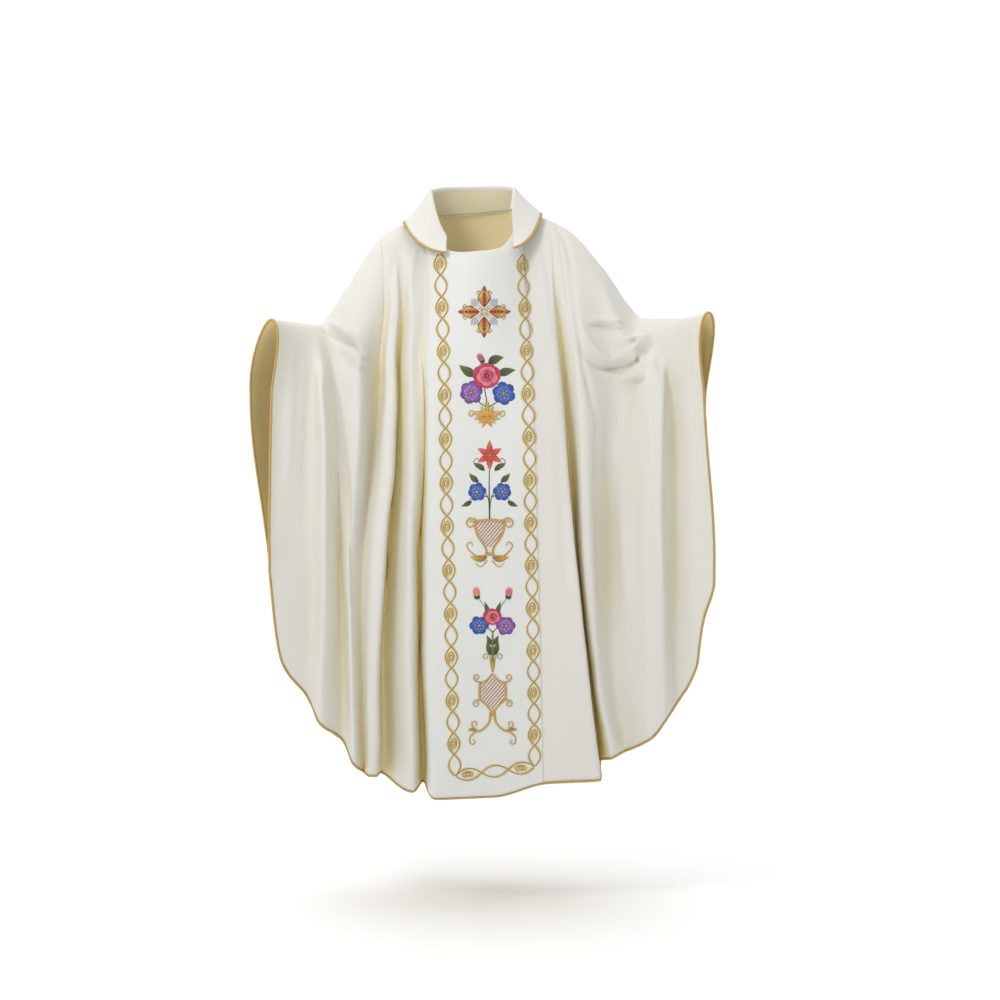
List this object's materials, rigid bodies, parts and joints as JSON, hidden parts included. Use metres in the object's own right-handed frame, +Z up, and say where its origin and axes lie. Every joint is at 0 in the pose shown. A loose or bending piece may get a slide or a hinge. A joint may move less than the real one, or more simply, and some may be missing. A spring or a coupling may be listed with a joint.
{
  "type": "chasuble",
  "caption": "Full cream chasuble worn with both arms held out, with a turned-down collar, a whiter embroidered front band and gold cord round its edges.",
  "frame": {"origin": "on the shoulder line under the middle of the neck, where the wearer's shoulders hold the garment", "axes": "+Z up, the front faces -Y, +X to the right in the front view"},
  "size_m": [0.9384, 0.4163, 1.2841],
  "materials": {
    "cream_cloth": "matt cream wool-like cloth with a fine plain weave",
    "white_band": "smooth matt white cloth",
    "gold_cord": "twisted metallic gold thread with a soft shine",
    "embroidery": "satin-stitched gold and coloured silk threads"
  },
  "bodies": {
    "root": {"front_wing_left": "cream_cloth", "front_centre": "cream_cloth", "front_wing_right": "cream_cloth", "back_wing_left": "cream_cloth", "back_centre": "cream_cloth", "back_wing_right": "cream_cloth", "collar": "cream_cloth", "front_band": "white_band", "collar_piping": "gold_cord", "hem_piping": "gold_cord"}
  },
  "joints": []
}
